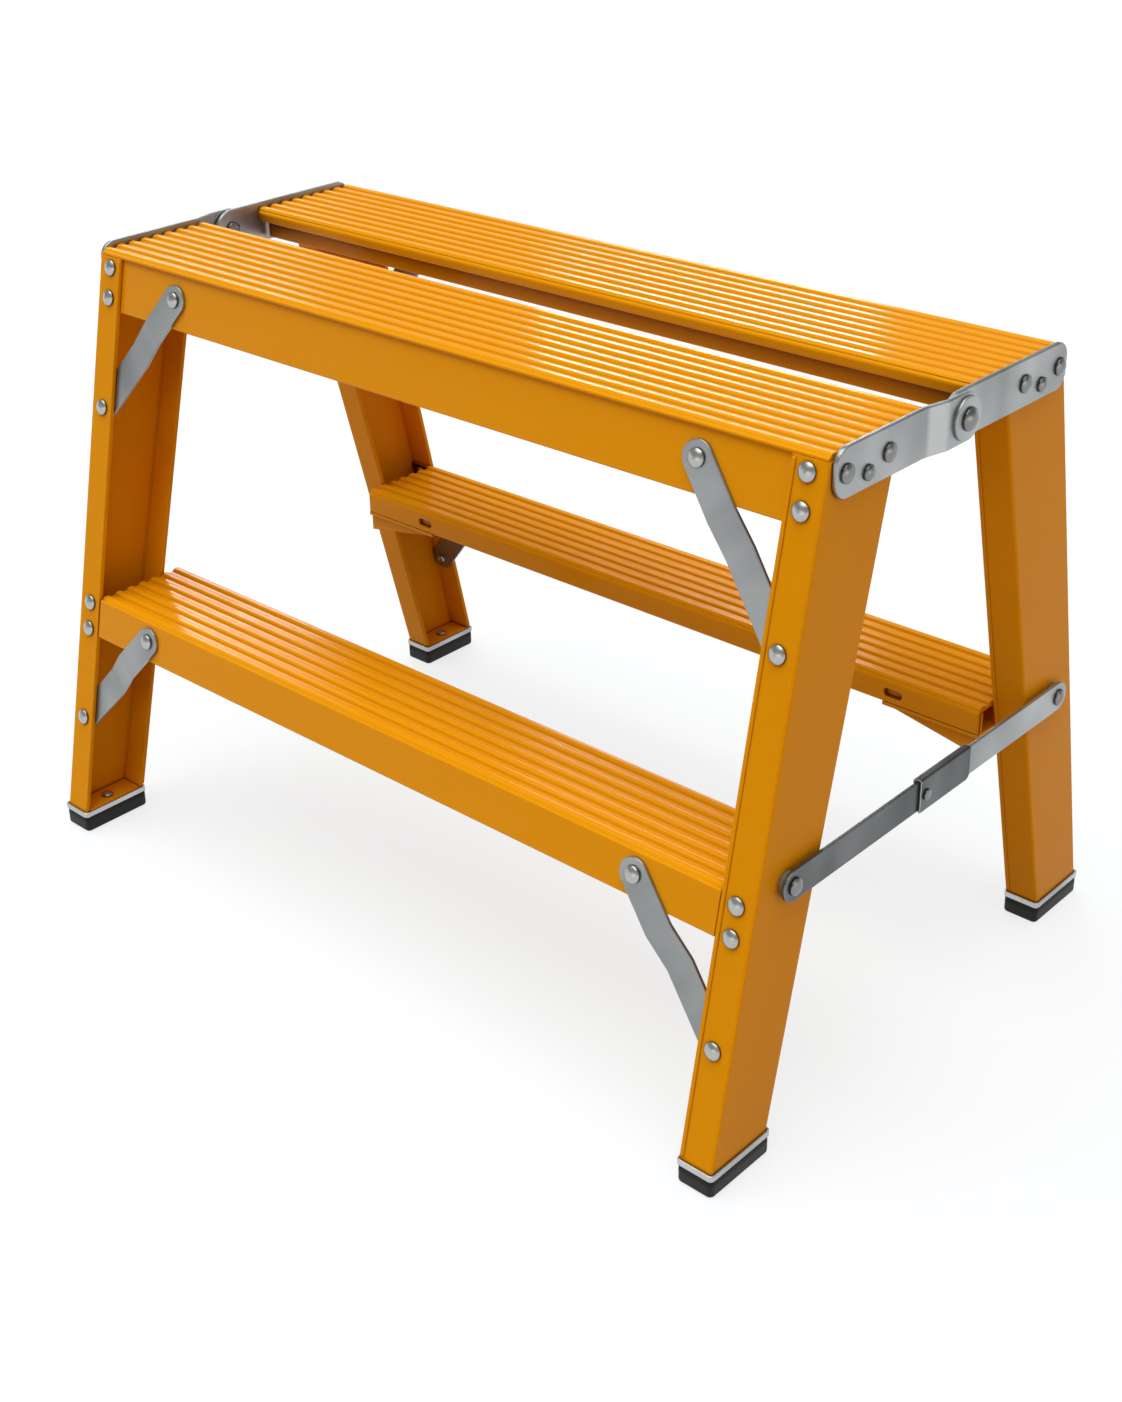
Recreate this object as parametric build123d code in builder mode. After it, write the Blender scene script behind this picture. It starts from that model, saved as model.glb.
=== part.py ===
"""Folding sawhorse ladder: two stepped frames hinged along their top edge.

Millimetres, +Z up. The origin is on the floor at the centre, +X runs along the steps, and the
front frame stands at -Y. Every piece is drawn once, on the front frame or at the right-hand end,
then mirrored to its other places.
"""
from build123d import *
from math import atan2, cos, hypot, radians, sin, tan
import os

# Overall sizes
frame_length = 720.0  # over the outer faces of the leg webs
tread_height = 497.0  # floor to the rib crests of the top steps
base_depth = 485.0  # over the outer faces of the legs, at the floor
top_depth = 272.0  # the same, at the top steps

# Legs: tapered channels, open towards the middle of the frame
leg_wall = 3.0
leg_flange = 27.0
leg_depth_foot = 60.0
leg_depth_top = 76.0
leg_corner = 2.0  # outside radius between web and flange
leg_root = 1.0  # inside radius between web and flange
leg_edge = 0.6  # radius on the flanges' free edges
bead_width = 3.2  # raised bead along the free edge of each flange
bead_height = 0.9
bead_round = 0.7
bead_inset = 2.0  # from the leg's top, and from the shoe's rim, to the bead's ends

# Steps: ribbed treads with an apron outside and a lip inside
step_wall = 3.0
step_plate = 2.5
tread_nose = 1.5  # radius on the tread's outer edge
tread_back = 4.0  # radius on the tread's inner edge
lip_round = 1.2
apron_edge = 0.8  # radius on an apron's lower edges
rib_height = 2.0
rib_width = 8.2  # at the foot of the rib
rib_slope = 48.0  # angle of the rib's sides
rib_round = 2.2
top_slot = 55.0  # open slot between the two top steps
top_apron = 48.0
top_lip = 11.5
top_skirt = 27.0  # from the top rib crests to the lower edge of the inner skirt
skirt_setback = 9.0  # from the lip's face to the skirt's face
top_ribs = 9
low_step_height = 212.5  # floor to the rib crests of the lower steps
low_step_depth = 86.0
low_apron = 34.5
low_lip = 22.0
low_ribs = 7
lip_slot_length = 17.0
lip_slot_width = 7.0
lip_slot_inset = 103.0  # from the leg web to the oval slot in the lower step's lip
top_end_gap = 1.5  # from the outer face of the leg webs to the top step's ends
low_end_gap = 1.0  # from the leg flanges to the lower step's ends

# Rivets
rivet_head = 12.8
rivet_small_head = 10.6
rivet_head_height = 3.8
rivet_rim = 1.5  # upright rim below the dome
rivet_shank = 6.0
rivet_tail = 9.0
rivet_tail_height = 2.2
rivet_tail_bore = 3.6
rivet_fit = 0.1  # clearance round a shank
flange_rivet_offset = 1.0  # the rivets in a flange sit inboard of its middle, clear of the web's root
top_rivet_drops = (13.0, 37.0)  # below the top rib crests
bracket_rivet_drops = (7.5, 30.0)  # below the lower rib crests

# Braces: flat strips from apron to leg
brace_width = 24.0
brace_thickness = 3.0
brace_inset = 97.0  # from the leg's outer face to the rivet in the apron
brace_top_drop = 102.0  # between the two rivets of an upper brace
brace_low_drop = 92.0  # between the two rivets of a lower brace
brace_bend_start = 40.0  # along the strip, from the apron rivet
brace_bend_length = 26.0
brace_bend_round = 10.0
brace_edge = 0.7
brace_fit = 0.5  # from the strip's trimmed end to the leg's root radius

# Step brackets: a lip riveted inside the leg and apron, a shelf below the tread and a gusset inside
bracket_wall = 3.0
bracket_reach = 112.0  # from the leg's outer face to the bracket's inner end
shelf_reach = 75.0  # the shelf's outer edge reaches less far, clear of the brace's rivet
gusset_depth = 16.0  # of the gusset below the shelf, at the leg
bracket_margin = 6.5  # lip beyond its rivets
bracket_fit = 0.3

# Feet
pad_height = 15.0
pad_edge = 2.2
pad_inset = 0.3
shoe_wall = 1.5
shoe_rim = 4.5
shoe_fit = 0.4
shoe_corner = 1.8  # inside radius of the rim
shoe_edge = 0.5
foot_plate_thickness = 3.0
foot_plate_fit = 0.2
foot_screw_head = 10.0
foot_screw_head_height = 3.4
foot_recess = 14.0
foot_recess_depth = 5.0

# Hinge straps
strap_width = 34.0
strap_thickness = 4.0
strap_rise = 3.5  # above the top rib crests
strap_end_inset = 4.0  # from the leg's outer edge to the strap's end
strap_corner = 12.0
strap_edge = 1.1
strap_gap = 0.4  # between the two straps at the pivot
strap_bend_length = 20.0
strap_bend_round = 6.0
strap_flat_margin = 2.0  # flat beyond the other strap's round end
strap_rivet_insets = (14.0, 37.0, 59.0)  # from the leg's outer edge
strap_middle_drop = 6.5  # the middle rivet sits below the strap's centreline
hinge_head = 16.0
hinge_head_height = 5.0
hinge_shank = 8.0
hinge_tail = 13.0
hinge_tail_height = 3.0
hinge_tail_bore = 5.0
hinge_washer = 30.0
hinge_washer_thickness = 2.5
hinge_washer_edge = 0.8

# Spreader: two flat bars and a folded sleeve at the right-hand end
spreader_height = 213.0
spreader_inset = 31.0  # from the leg's outer edge to the pivot
spreader_stand = 4.0  # the bars stand off the leg webs by a spacer
knuckle_offset = -16.0  # the knuckle sits nearer the front frame
bar_width = 23.0
bar_thickness = 3.0
bar_edge = 0.6
folded_bar_angle = 43.6  # between the two bars when the ladder is closed
folded_bar_fit = 1.5  # from the folded front bar to the rear bar's end
sleeve_wall = 1.5
sleeve_fit = 0.3
sleeve_front = 7.5  # from the knuckle to the sleeve's front end
sleeve_back = 56.0  # from the knuckle to the sleeve's rear end
sleeve_drop = 0.8  # below the bars
sleeve_round = 1.4
sleeve_corner = 5.0
spacer_diameter = 17.0
pivot_play = 0.15  # end play at a pivot
pivot_fit = 0.08  # clearance round a shank that turns
knuckle_head = 8.4
knuckle_head_height = 2.4
knuckle_shank = 5.0
knuckle_tail = 7.5
knuckle_tail_height = 1.2
knuckle_tail_bore = 2.4

# Levels and places worked out from the sizes above
half_length = frame_length / 2
web_inside = half_length - leg_wall
flange_edge = half_length - leg_flange
lean = (base_depth - top_depth) / 2 / tread_height
lean_stretch = hypot(1, lean)
inner_lean = lean + (leg_depth_top - leg_depth_foot) / tread_height
inner_stretch = hypot(1, inner_lean)
top_plate_top = tread_height - rib_height
leg_top = top_plate_top - step_plate
leg_bottom = pad_height + shoe_wall
low_plate_top = low_step_height - rib_height
low_plate_bottom = low_plate_top - step_plate
flange_rivet_x = half_length - leg_flange / 2 - flange_rivet_offset
brace_x = half_length - brace_inset
top_brace_z = tread_height - top_apron / 2
low_brace_z = low_step_height - low_apron / 2
hinge_z = tread_height + strap_rise - strap_width / 2


def outer_y(z, depth=0.0):
    """Y of the front legs' outer face at height z, or of a plane that deep behind it."""
    return -base_depth / 2 + lean * z + depth * lean_stretch


def inner_y(z, depth=0.0):
    """Y of the front legs' inner face at height z, or of a plane that deep inside it."""
    return -base_depth / 2 + leg_depth_foot + inner_lean * z - depth * inner_stretch


def face_plane(x, z, depth=0.0):
    """Plane on the front legs' outer face, facing out, sunk straight in by depth."""
    outward = Vector(0, -1, lean).normalized()
    return Plane(Vector(x, outer_y(z), z) - outward * depth, x_dir=(1, 0, 0), z_dir=outward)


def end_plane(y, z, stand=0.0):
    """Plane on the right leg webs' outer face, facing out, stood off by stand."""
    return Plane((half_length + stand, y, z), x_dir=(0, 1, 0), z_dir=(1, 0, 0))


def to_left(shape):
    return mirror(shape, about=Plane.YZ)


def to_rear(shape):
    return mirror(shape, about=Plane.XZ)


def both_ends(solids):
    """Right-hand solids with their left-hand copies, as one group."""
    with BuildPart() as group:
        for solid in solids:
            add(solid)
            add(to_left(solid))
    return group.part


def write(shape, name):
    shape.label = name
    export_step(shape, f"parts/{name}.step")


def write_frames(shape, name):
    """Write a piece of the front frame and its copy on the rear frame."""
    write(shape, f"front_{name}")
    write(to_rear(shape), f"rear_{name}")


def write_ends(shape, name):
    """Write a piece of the right-hand end and its copy at the left-hand end."""
    write(shape, f"right_{name}")
    write(to_left(shape), f"left_{name}")


def write_corners(shape, name):
    """Write a piece of the front right corner and its copies at the other three."""
    write_frames(shape, f"right_{name}")
    write_frames(to_left(shape), f"left_{name}")


def turned(plane, profile):
    """Solid of revolution about the plane's normal, from a dome and then straight runs.

    The profile lists (radius, height) points. The first two are the ends of the dome.
    """
    section = Plane(plane.origin, x_dir=plane.x_dir, z_dir=-plane.y_dir)
    with BuildPart() as solid:
        with BuildSketch(section):
            with BuildLine():
                TangentArc(*profile[:2], tangent=(1, 0))
                Polyline(*profile[1:], profile[0])
            make_face()
        revolve(axis=Axis(plane.origin, plane.z_dir))
    return solid.part


def headed_pin(plane, grip, head, head_height, shank, tail, tail_height, tail_bore):
    """Pin with a domed head on the plane and a dished tail at the far side of its grip."""
    tail_end = -grip - tail_height
    dish = tail_end + tail_height / 2
    return turned(
        plane,
        [
            (0, head_height),
            (head / 2, rivet_rim),
            (head / 2, 0),
            (shank / 2, 0),
            (shank / 2, -grip),
            (tail / 2, -grip),
            (tail / 2, dish),
            ((tail + tail_bore) / 4, tail_end),
            (tail_bore / 2, dish),
            (0, dish),
        ],
    )


def rivet(plane, grip, head=rivet_head):
    return headed_pin(
        plane, grip, head, rivet_head_height, rivet_shank, rivet_tail, rivet_tail_height, rivet_tail_bore
    )


def ring(plane, thickness, diameter, bore):
    """Flat washer that stands on a plane."""
    with BuildPart() as washer:
        with BuildSketch(plane):
            Circle(diameter / 2)
            Circle(bore / 2, mode=Mode.SUBTRACT)
        extrude(amount=thickness)
    return washer.part


os.makedirs("parts", exist_ok=True)

# Rivet places at the front right corner
top_rivets = [face_plane(flange_rivet_x, tread_height - drop) for drop in top_rivet_drops]
bracket_rivets = [face_plane(flange_rivet_x, low_step_height - drop) for drop in bracket_rivet_drops]
brace_foot_rivets = [
    face_plane(flange_rivet_x, top_brace_z - brace_top_drop),
    face_plane(flange_rivet_x, low_brace_z - brace_low_drop),
]
strap_rivet_places = [
    (outer_y(hinge_z) + inset, hinge_z - drop)
    for inset, drop in zip(strap_rivet_insets, (0, strap_middle_drop, 0))
]
spreader_y = outer_y(spreader_height) + spreader_inset
rivet_hole = rivet_shank / 2 + rivet_fit
pivot_hole = rivet_shank / 2 + pivot_fit


def flange_bead(face_y, side):
    """Raised bead on a leg flange, along its free edge.

    face_y gives the flange's outside face, and side its place among faces sorted along Y.
    """
    bottom = pad_height + shoe_rim + bead_inset
    top = leg_top - bead_inset
    with BuildPart() as bead:
        with BuildSketch(Plane.YZ.offset(flange_edge)):
            with BuildLine():
                Polyline(
                    (face_y(bottom, leg_wall / 2), bottom),
                    (face_y(bottom, -bead_height), bottom),
                    (face_y(top, -bead_height), top),
                    (face_y(top, leg_wall / 2), top),
                    close=True,
                )
            make_face()
        extrude(amount=bead_width)
        proud_face = bead.faces().filter_by(lambda f: abs(f.normal_at().Y) > 0.9).sort_by(Axis.Y)[side]
        fillet(proud_face.edges(), bead_round)
    return bead.part


# Leg: a beaded channel whose web and flanges draw together towards the foot
with BuildPart() as leg:
    with BuildSketch(Plane.YZ.offset(flange_edge)):
        with BuildLine():
            Polyline(
                (outer_y(leg_bottom), leg_bottom),
                (outer_y(leg_top), leg_top),
                (inner_y(leg_top), leg_top),
                (inner_y(leg_bottom), leg_bottom),
                close=True,
            )
        make_face()
    extrude(amount=leg_flange)
    fillet(leg.faces().sort_by(Axis.X)[-1].edges().sort_by(SortBy.LENGTH)[-2:], leg_corner)
    with BuildSketch(Plane.YZ.offset(flange_edge)):
        with BuildLine():
            Polyline(
                (outer_y(0, leg_wall), 0),
                (outer_y(tread_height, leg_wall), tread_height),
                (inner_y(tread_height, leg_wall), tread_height),
                (inner_y(0, leg_wall), 0),
                close=True,
            )
        make_face()
    extrude(amount=leg_flange - leg_wall, mode=Mode.SUBTRACT)
    web_face = leg.faces().filter_by(Axis.X).sort_by(Axis.X)[-2]
    fillet(web_face.edges().sort_by(SortBy.LENGTH)[-2:], leg_root)
    flange_ends = leg.faces().sort_by(Axis.X)[:2]
    fillet(flange_ends.edges().sort_by(SortBy.LENGTH)[-4:], leg_edge)
    add(flange_bead(outer_y, 0))
    add(flange_bead(inner_y, -1))
    with Locations(*top_rivets, *bracket_rivets, *brace_foot_rivets):
        Hole(rivet_hole, depth=2 * leg_wall)
    with Locations(*[end_plane(y, z) for y, z in strap_rivet_places]):
        Hole(rivet_hole, depth=2 * leg_wall)
write_frames(to_left(leg.part), "left_leg")

# The right-hand legs are also drilled for the spreader
with BuildPart() as drilled_leg:
    add(leg.part)
    with Locations(end_plane(spreader_y, spreader_height)):
        Hole(rivet_hole, depth=2 * leg_wall)
write_frames(drilled_leg.part, "right_leg")


def add_ribs(nose, back, plate_top, count):
    """Lay evenly spaced ribs with rounded crests on a tread's section, from nose to back."""
    pitch = (back - nose) / count
    with Locations(*[(nose + (i + 0.5) * pitch, plate_top) for i in range(count)]):
        Trapezoid(rib_width, rib_height, rib_slope, align=(Align.CENTER, Align.MIN))
        Rectangle(rib_width, rib_height, align=(Align.CENTER, Align.MAX))


# Top step: its plate lies on the leg tops, its apron runs behind the leg flanges, and a skirt
# hangs behind its lip
top_nose = outer_y(top_plate_top)
top_back = -top_slot / 2
top_lip_end = tread_height - top_lip
top_skirt_end = tread_height - top_skirt
top_apron_end = tread_height - top_apron
top_apron_depths = (leg_wall, leg_wall + step_wall)
with BuildPart() as top_step:
    with BuildSketch(Plane.YZ.offset(-half_length + top_end_gap)) as tread:
        with BuildLine():
            Polyline(
                (top_nose, leg_top),
                (top_nose, top_plate_top),
                (top_back, top_plate_top),
                (top_back, top_lip_end),
                (top_back - step_wall, top_lip_end),
                (top_back - step_wall, leg_top),
                close=True,
            )
        make_face()
        fillet(tread.vertices().group_by(Axis.Y)[0], lip_round)
        fillet(tread.vertices().group_by(Axis.Y)[-1].sort_by(Axis.X)[0], tread_nose)
        fillet(tread.vertices().group_by(Axis.Y)[-1].sort_by(Axis.X)[-1], tread_back)
        add_ribs(top_nose, top_back, top_plate_top, top_ribs)
        fillet(tread.vertices().group_by(Axis.Y)[-1], rib_round)
    extrude(amount=frame_length - 2 * top_end_gap)
    apron_half = web_inside - leg_root
    with BuildSketch(Plane.YZ.offset(-apron_half)):
        with BuildLine():
            Polyline(
                (outer_y(top_apron_end, top_apron_depths[0]), top_apron_end),
                (outer_y(top_plate_top, top_apron_depths[0]), top_plate_top),
                (outer_y(top_plate_top, top_apron_depths[1]), top_plate_top),
                (outer_y(top_apron_end, top_apron_depths[1]), top_apron_end),
                close=True,
            )
        make_face()
    extrude(amount=2 * apron_half)
    with BuildSketch(Plane.YZ.offset(-apron_half)) as skirt:
        with Locations((top_back - skirt_setback, top_plate_top)):
            Rectangle(step_wall, top_plate_top - top_skirt_end, align=(Align.MAX, Align.MAX))
        fillet(skirt.vertices().group_by(Axis.Y)[0], apron_edge)
    extrude(amount=2 * apron_half)
    fillet(top_step.edges().filter_by(Axis.X).group_by(Axis.Z)[0], apron_edge)
    for end in (1, -1):
        step_holes = [face_plane(end * flange_rivet_x, tread_height - drop) for drop in top_rivet_drops]
        with Locations(*step_holes, face_plane(end * brace_x, top_brace_z)):
            Hole(rivet_hole, depth=leg_wall + 2 * step_wall)
write_frames(top_step.part, "top_step")

# Lower step: stands between the legs, its apron flush with their flanges, on a bracket at each end
low_apron_depths = (leg_wall - step_wall, leg_wall)
low_nose = outer_y(low_plate_top, low_apron_depths[0])
low_back = low_nose + low_step_depth
low_lip_end = low_step_height - low_lip
low_apron_end = low_step_height - low_apron
low_half = flange_edge - low_end_gap
with BuildPart() as lower_step:
    with BuildSketch(Plane.YZ.offset(-low_half)) as tread:
        with BuildLine():
            Polyline(
                (low_nose, low_plate_top),
                (low_back, low_plate_top),
                (low_back, low_lip_end),
                (low_back - step_wall, low_lip_end),
                (low_back - step_wall, low_plate_bottom),
                (outer_y(low_plate_bottom, low_apron_depths[1]), low_plate_bottom),
                (outer_y(low_apron_end, low_apron_depths[1]), low_apron_end),
                (outer_y(low_apron_end, low_apron_depths[0]), low_apron_end),
                close=True,
            )
        make_face()
        fillet(tread.vertices().sort_by(Axis.X)[-2:].sort_by(Axis.Y)[0], lip_round)
        fillet(tread.vertices().group_by(Axis.Y)[-1].sort_by(Axis.X)[0], tread_nose)
        fillet(tread.vertices().group_by(Axis.Y)[-1].sort_by(Axis.X)[-1], tread_back)
        add_ribs(low_nose, low_back, low_plate_top, low_ribs)
        fillet(tread.vertices().group_by(Axis.Y)[-1], rib_round)
    extrude(amount=2 * low_half)
    fillet(lower_step.edges().filter_by(Axis.X).group_by(Axis.Z)[0], apron_edge)
    with BuildSketch(Plane.XZ.offset(-low_back)):
        slot_z = (low_lip_end + low_plate_bottom) / 2
        for end in (1, -1):
            with Locations((end * (half_length - lip_slot_inset), slot_z)):
                SlotOverall(lip_slot_length, lip_slot_width)
    extrude(amount=2 * step_wall, mode=Mode.SUBTRACT)
    with Locations(face_plane(brace_x, low_brace_z), face_plane(-brace_x, low_brace_z)):
        Hole(rivet_hole, depth=leg_wall + step_wall)
write_frames(lower_step.part, "lower_step")


def brace(apron_z, drop, back_depth):
    """Flat strip from the apron down behind the leg flange, with a joggle between the two planes.

    back_depth is how deep the apron's outer face lies below the leg's outer face.
    """
    joggle = leg_wall + brace_thickness - back_depth
    start = face_plane(brace_x, apron_z, back_depth)
    along = face_plane(flange_rivet_x, apron_z - drop, back_depth).origin - start.origin
    span = along.length
    direction = along.normalized()
    bend_end = brace_bend_start + brace_bend_length
    shift = brace_thickness * tan(atan2(joggle, brace_bend_length) / 2)
    radius = brace_width / 2
    edge_plane = Plane(start.origin, x_dir=direction, z_dir=direction.cross(start.z_dir))
    with BuildPart() as strip:
        with BuildSketch(edge_plane) as side:
            with BuildLine():
                Polyline(
                    (-radius, 0),
                    (brace_bend_start, 0),
                    (bend_end, -joggle),
                    (span + radius, -joggle),
                    (span + radius, brace_thickness - joggle),
                    (bend_end + shift, brace_thickness - joggle),
                    (brace_bend_start + shift, brace_thickness),
                    (-radius, brace_thickness),
                    close=True,
                )
            make_face()
            bends = side.vertices().filter_by(lambda v: 0 < v.X < span)
            fillet(bends, brace_bend_round)
        extrude(amount=radius, both=True)
        with BuildSketch(Plane(start.origin, x_dir=direction, z_dir=start.z_dir)):
            with Locations((span / 2, 0)):
                SlotCenterToCenter(span, brace_width)
        extrude(amount=joggle + brace_thickness, both=True, mode=Mode.INTERSECT)
        faces = strip.faces().filter_by(lambda f: abs(f.normal_at().dot(start.z_dir)) > 0.8)
        rims = faces.edges().filter_by(lambda e: e.length > 1.1 * brace_width)
        fillet(rims, brace_edge)
        # The foot is trimmed to clear the leg's web
        trim_x = web_inside - leg_root - brace_fit
        with BuildSketch(Plane.YZ.offset(trim_x)):
            with Locations((start.origin.Y, start.origin.Z)):
                Rectangle(4 * span, 4 * span)
        extrude(amount=brace_width, mode=Mode.SUBTRACT)
        for place in (start, face_plane(flange_rivet_x, apron_z - drop, back_depth)):
            with Locations(place.offset(2 * brace_thickness)):
                Hole(rivet_hole, depth=4 * brace_thickness + joggle)
    return strip.part


write_corners(brace(top_brace_z, brace_top_drop, top_apron_depths[0]), "upper_brace")
write_corners(brace(low_brace_z, brace_low_drop, low_apron_depths[0]), "lower_brace")

# Step bracket: a riveted lip that reaches from the leg behind the apron, a shelf below the tread,
# and a gusset that stands on edge behind the tread's lip and hangs deeper towards the leg
lip_inner = half_length - bracket_reach
lip_outer = web_inside - leg_root
lip_step = flange_edge + bracket_fit
lip_top = (low_step_height - bracket_rivet_drops[0] + bracket_margin) * lean_stretch
lip_bottom = (low_step_height - bracket_rivet_drops[-1] - bracket_margin) * lean_stretch
lip_hidden_top = (low_plate_bottom - bracket_wall) * lean_stretch
lip_hidden_bottom = (low_apron_end + bracket_wall) * lean_stretch
shelf_bottom = low_lip_end - bracket_wall
shelf_front = outer_y(shelf_bottom, leg_wall + bracket_wall / 2)
shelf_inside = inner_y(shelf_bottom, leg_wall) - bracket_fit
gusset_end = flange_edge - bracket_fit
gusset_top = low_plate_bottom - bracket_fit
with BuildPart() as step_bracket:
    with BuildSketch(face_plane(0, 0, leg_wall)):
        with BuildLine():
            Polyline(
                (lip_inner, lip_hidden_bottom),
                (lip_step, lip_hidden_bottom),
                (lip_step, lip_bottom),
                (lip_outer, lip_bottom),
                (lip_outer, lip_top),
                (lip_step, lip_top),
                (lip_step, lip_hidden_top),
                (lip_inner, lip_hidden_top),
                close=True,
            )
        make_face()
    extrude(amount=-bracket_wall)
    with BuildSketch(Plane.XY.offset(shelf_bottom)):
        with BuildLine():
            Polyline(
                (half_length - shelf_reach, shelf_front),
                (lip_outer, shelf_front),
                (lip_outer, shelf_inside),
                (gusset_end, shelf_inside),
                (gusset_end, low_back),
                (lip_inner, low_back),
                close=True,
            )
        make_face()
    extrude(amount=bracket_wall)
    with BuildSketch(Plane.XZ.offset(step_wall - low_back)):
        with BuildLine():
            Polyline(
                (lip_inner, gusset_top),
                (gusset_end, gusset_top),
                (gusset_end, shelf_bottom - gusset_depth),
                (lip_inner, shelf_bottom),
                close=True,
            )
        make_face()
    extrude(amount=bracket_wall)
    with Locations(*bracket_rivets, face_plane(brace_x, low_brace_z)):
        Hole(rivet_hole, depth=leg_wall + 2 * bracket_wall)
write_corners(step_bracket.part, "step_bracket")

# Foot: a rubber pad below a folded steel shoe, held by a screw through a plate in the leg
shoe_x = (flange_edge - shoe_fit, half_length + shoe_fit)
shoe_y = (outer_y(leg_bottom) - shoe_fit, inner_y(pad_height + shoe_rim) + shoe_fit)
shoe_width = shoe_x[1] - shoe_x[0]
shoe_length = shoe_y[1] - shoe_y[0]
shoe_centre = (sum(shoe_x) / 2, sum(shoe_y) / 2)
plate_x = (flange_edge, web_inside - leg_root)
plate_y = (
    outer_y(leg_bottom + foot_plate_thickness, leg_wall) + foot_plate_fit,
    inner_y(leg_bottom, leg_wall) - foot_plate_fit,
)
screw_centre = (sum(plate_x) / 2, sum(plate_y) / 2)
with BuildPart() as foot_shoe:
    with BuildSketch(Plane.XY.offset(pad_height)):
        with Locations(shoe_centre):
            RectangleRounded(
                shoe_width + 2 * shoe_wall,
                shoe_length + 2 * shoe_wall,
                shoe_corner + shoe_wall,
            )
    extrude(amount=shoe_rim)
    with BuildSketch(Plane.XY.offset(leg_bottom)):
        with Locations(shoe_centre):
            RectangleRounded(shoe_width, shoe_length, shoe_corner)
    extrude(amount=shoe_rim, mode=Mode.SUBTRACT)
    fillet(foot_shoe.faces().sort_by(Axis.Z)[-1].edges(), shoe_edge)
    with Locations((*screw_centre, leg_bottom)):
        Hole(rivet_hole, depth=2 * shoe_wall)
write_corners(foot_shoe.part, "foot_shoe")

pad_margin = 2 * (shoe_wall - pad_inset)
with BuildPart() as foot_pad:
    with BuildSketch(Plane.XY):
        with Locations(shoe_centre):
            RectangleRounded(
                shoe_width + pad_margin,
                shoe_length + pad_margin,
                shoe_corner + pad_margin / 2,
            )
    extrude(amount=pad_height)
    fillet(foot_pad.faces().sort_by(Axis.Z)[0].edges(), pad_edge)
    with Locations(Plane((*screw_centre, 0), z_dir=(0, 0, -1))):
        CounterBoreHole(rivet_hole, foot_recess / 2, foot_recess_depth)
write_corners(foot_pad.part, "foot_pad")

with BuildPart() as foot_plate:
    with BuildSketch(Plane.XY.offset(leg_bottom)):
        with Locations((sum(plate_x) / 2, sum(plate_y) / 2)):
            Rectangle(plate_x[1] - plate_x[0], plate_y[1] - plate_y[0])
    extrude(amount=foot_plate_thickness)
    with Locations((*screw_centre, leg_bottom + foot_plate_thickness)):
        Hole(rivet_hole, depth=2 * foot_plate_thickness)
write_frames(both_ends([foot_plate.part]), "foot_plates")

foot_screw = headed_pin(
    Plane((*screw_centre, leg_bottom + foot_plate_thickness)),
    foot_plate_thickness + shoe_wall + pad_height - foot_recess_depth,
    foot_screw_head,
    foot_screw_head_height,
    rivet_shank,
    rivet_tail,
    rivet_tail_height,
    rivet_tail_bore,
)
write_frames(both_ends([foot_screw]), "foot_screws")

# Rivets of one frame: through the leg flanges, the braces and the steps
step_rivets = [rivet(place, leg_wall + step_wall) for place in top_rivets]
step_rivets += [rivet(place, leg_wall + bracket_wall) for place in bracket_rivets]
write_frames(both_ends(step_rivets), "step_rivets")

top_brace_head = face_plane(brace_x, top_brace_z, top_apron_depths[0] - brace_thickness)
low_brace_head = face_plane(brace_x, low_brace_z, low_apron_depths[0] - brace_thickness)
brace_rivets = [rivet(place, leg_wall + brace_thickness) for place in brace_foot_rivets]
brace_rivets.append(rivet(top_brace_head, brace_thickness + step_wall))
brace_rivets.append(rivet(low_brace_head, brace_thickness + step_wall + bracket_wall))
write_frames(both_ends(brace_rivets), "brace_rivets")

strap_heads = (rivet_head, rivet_small_head, rivet_head)
strap_rivets = [
    rivet(end_plane(y, z, strap_thickness), strap_thickness + leg_wall, head)
    for (y, z), head in zip(strap_rivet_places, strap_heads)
]
write_frames(both_ends(strap_rivets), "strap_rivets")

# Hinge straps: the rear strap lies flat and the front one joggles out over it at the pivot
strap_radius = strap_width / 2
strap_end = outer_y(hinge_z) + strap_end_inset
strap_offset = strap_thickness + strap_gap


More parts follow.
